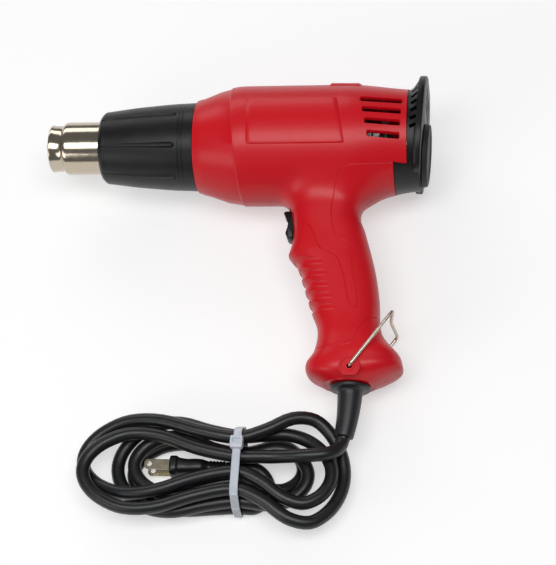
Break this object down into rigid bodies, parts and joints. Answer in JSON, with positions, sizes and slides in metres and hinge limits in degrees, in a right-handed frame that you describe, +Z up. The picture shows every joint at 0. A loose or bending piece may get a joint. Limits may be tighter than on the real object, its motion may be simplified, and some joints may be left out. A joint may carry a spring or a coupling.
{
  "type": "hot air tool",
  "caption": "Pistol-grip hot air tool with steel nozzle, vented body, stand plate, trigger, hanging bail and a tied hank of mains cord with plug.",
  "frame": {"origin": "on the floor below the middle of the tool as it lies on its right side, without the cord", "axes": "+X along the air axis towards the stand plate, +Z up from the floor, so the handle points towards -Y"},
  "size_m": [0.255, 0.3017, 0.0816],
  "materials": {
    "red_plastic": "satin",
    "black_plastic": "satin",
    "black_rubber": "matte",
    "nozzle_steel": "polished",
    "steel": "satin",
    "blade_brass": "polished",
    "ceramic": "matte",
    "mica": "satin",
    "tie_nylon": "satin",
    "board": "satin",
    "lead_insulation": "satin"
  },
  "bodies": {
    "housing": {"housing_left": "red_plastic", "housing_right": "red_plastic", "front_shroud": "black_plastic", "rear_cap": "black_plastic", "air_duct": "black_plastic", "switch_body": "black_plastic", "cord_clamp": "black_plastic", "stand_pad": "black_rubber", "strain_relief": "black_rubber", "inner_cord": "black_rubber", "cord_lead": "black_rubber", "cord_hank": "black_rubber", "plug_body": "black_rubber", "nozzle": "nozzle_steel", "heater_coil": "steel", "motor": "steel", "trigger_pin": "steel", "clamp_screw_1": "steel", "clamp_screw_2": "steel", "housing_screw_1": "steel", "housing_screw_2": "steel", "housing_screw_3": "steel", "housing_screw_4": "steel", "housing_screw_5": "steel", "housing_screw_6": "steel", "housing_screw_7": "steel", "housing_screw_8": "steel", "plug_blade_upper": "blade_brass", "plug_blade_lower": "blade_brass", "heater_core": "ceramic", "mica_tube": "mica", "cord_tie": "tie_nylon", "rectifier_board": "board", "supply_lead_live": "lead_insulation", "supply_lead_neutral": "lead_insulation", "motor_lead_live": "lead_insulation", "motor_lead_neutral": "lead_insulation"},
    "rotor": {"motor_shaft": "steel", "fan": "black_plastic"},
    "trigger": {"trigger": "black_plastic"},
    "bail": {"hanging_bail": "steel"}
  },
  "joints": [
    {"name": "rotor_spin", "type": "hinge", "parent": "housing", "child": "rotor", "pos_m": [0.04848, 0.0776, 0.0408], "axis": [1, 0, 0], "continuous": true},
    {"name": "trigger_rock", "type": "hinge", "parent": "housing", "child": "trigger", "pos_m": [0.04498, 0.01887, 0.03512], "axis": [0, -0.0964, 0.9953], "range_deg": [-6, 6]},
    {"name": "bail_swing", "type": "hinge", "parent": "housing", "child": "bail", "pos_m": [0.08118, -0.08255, 0.0253], "axis": [0, -0.0964, 0.9953], "range_deg": [-130, 6]}
  ]
}
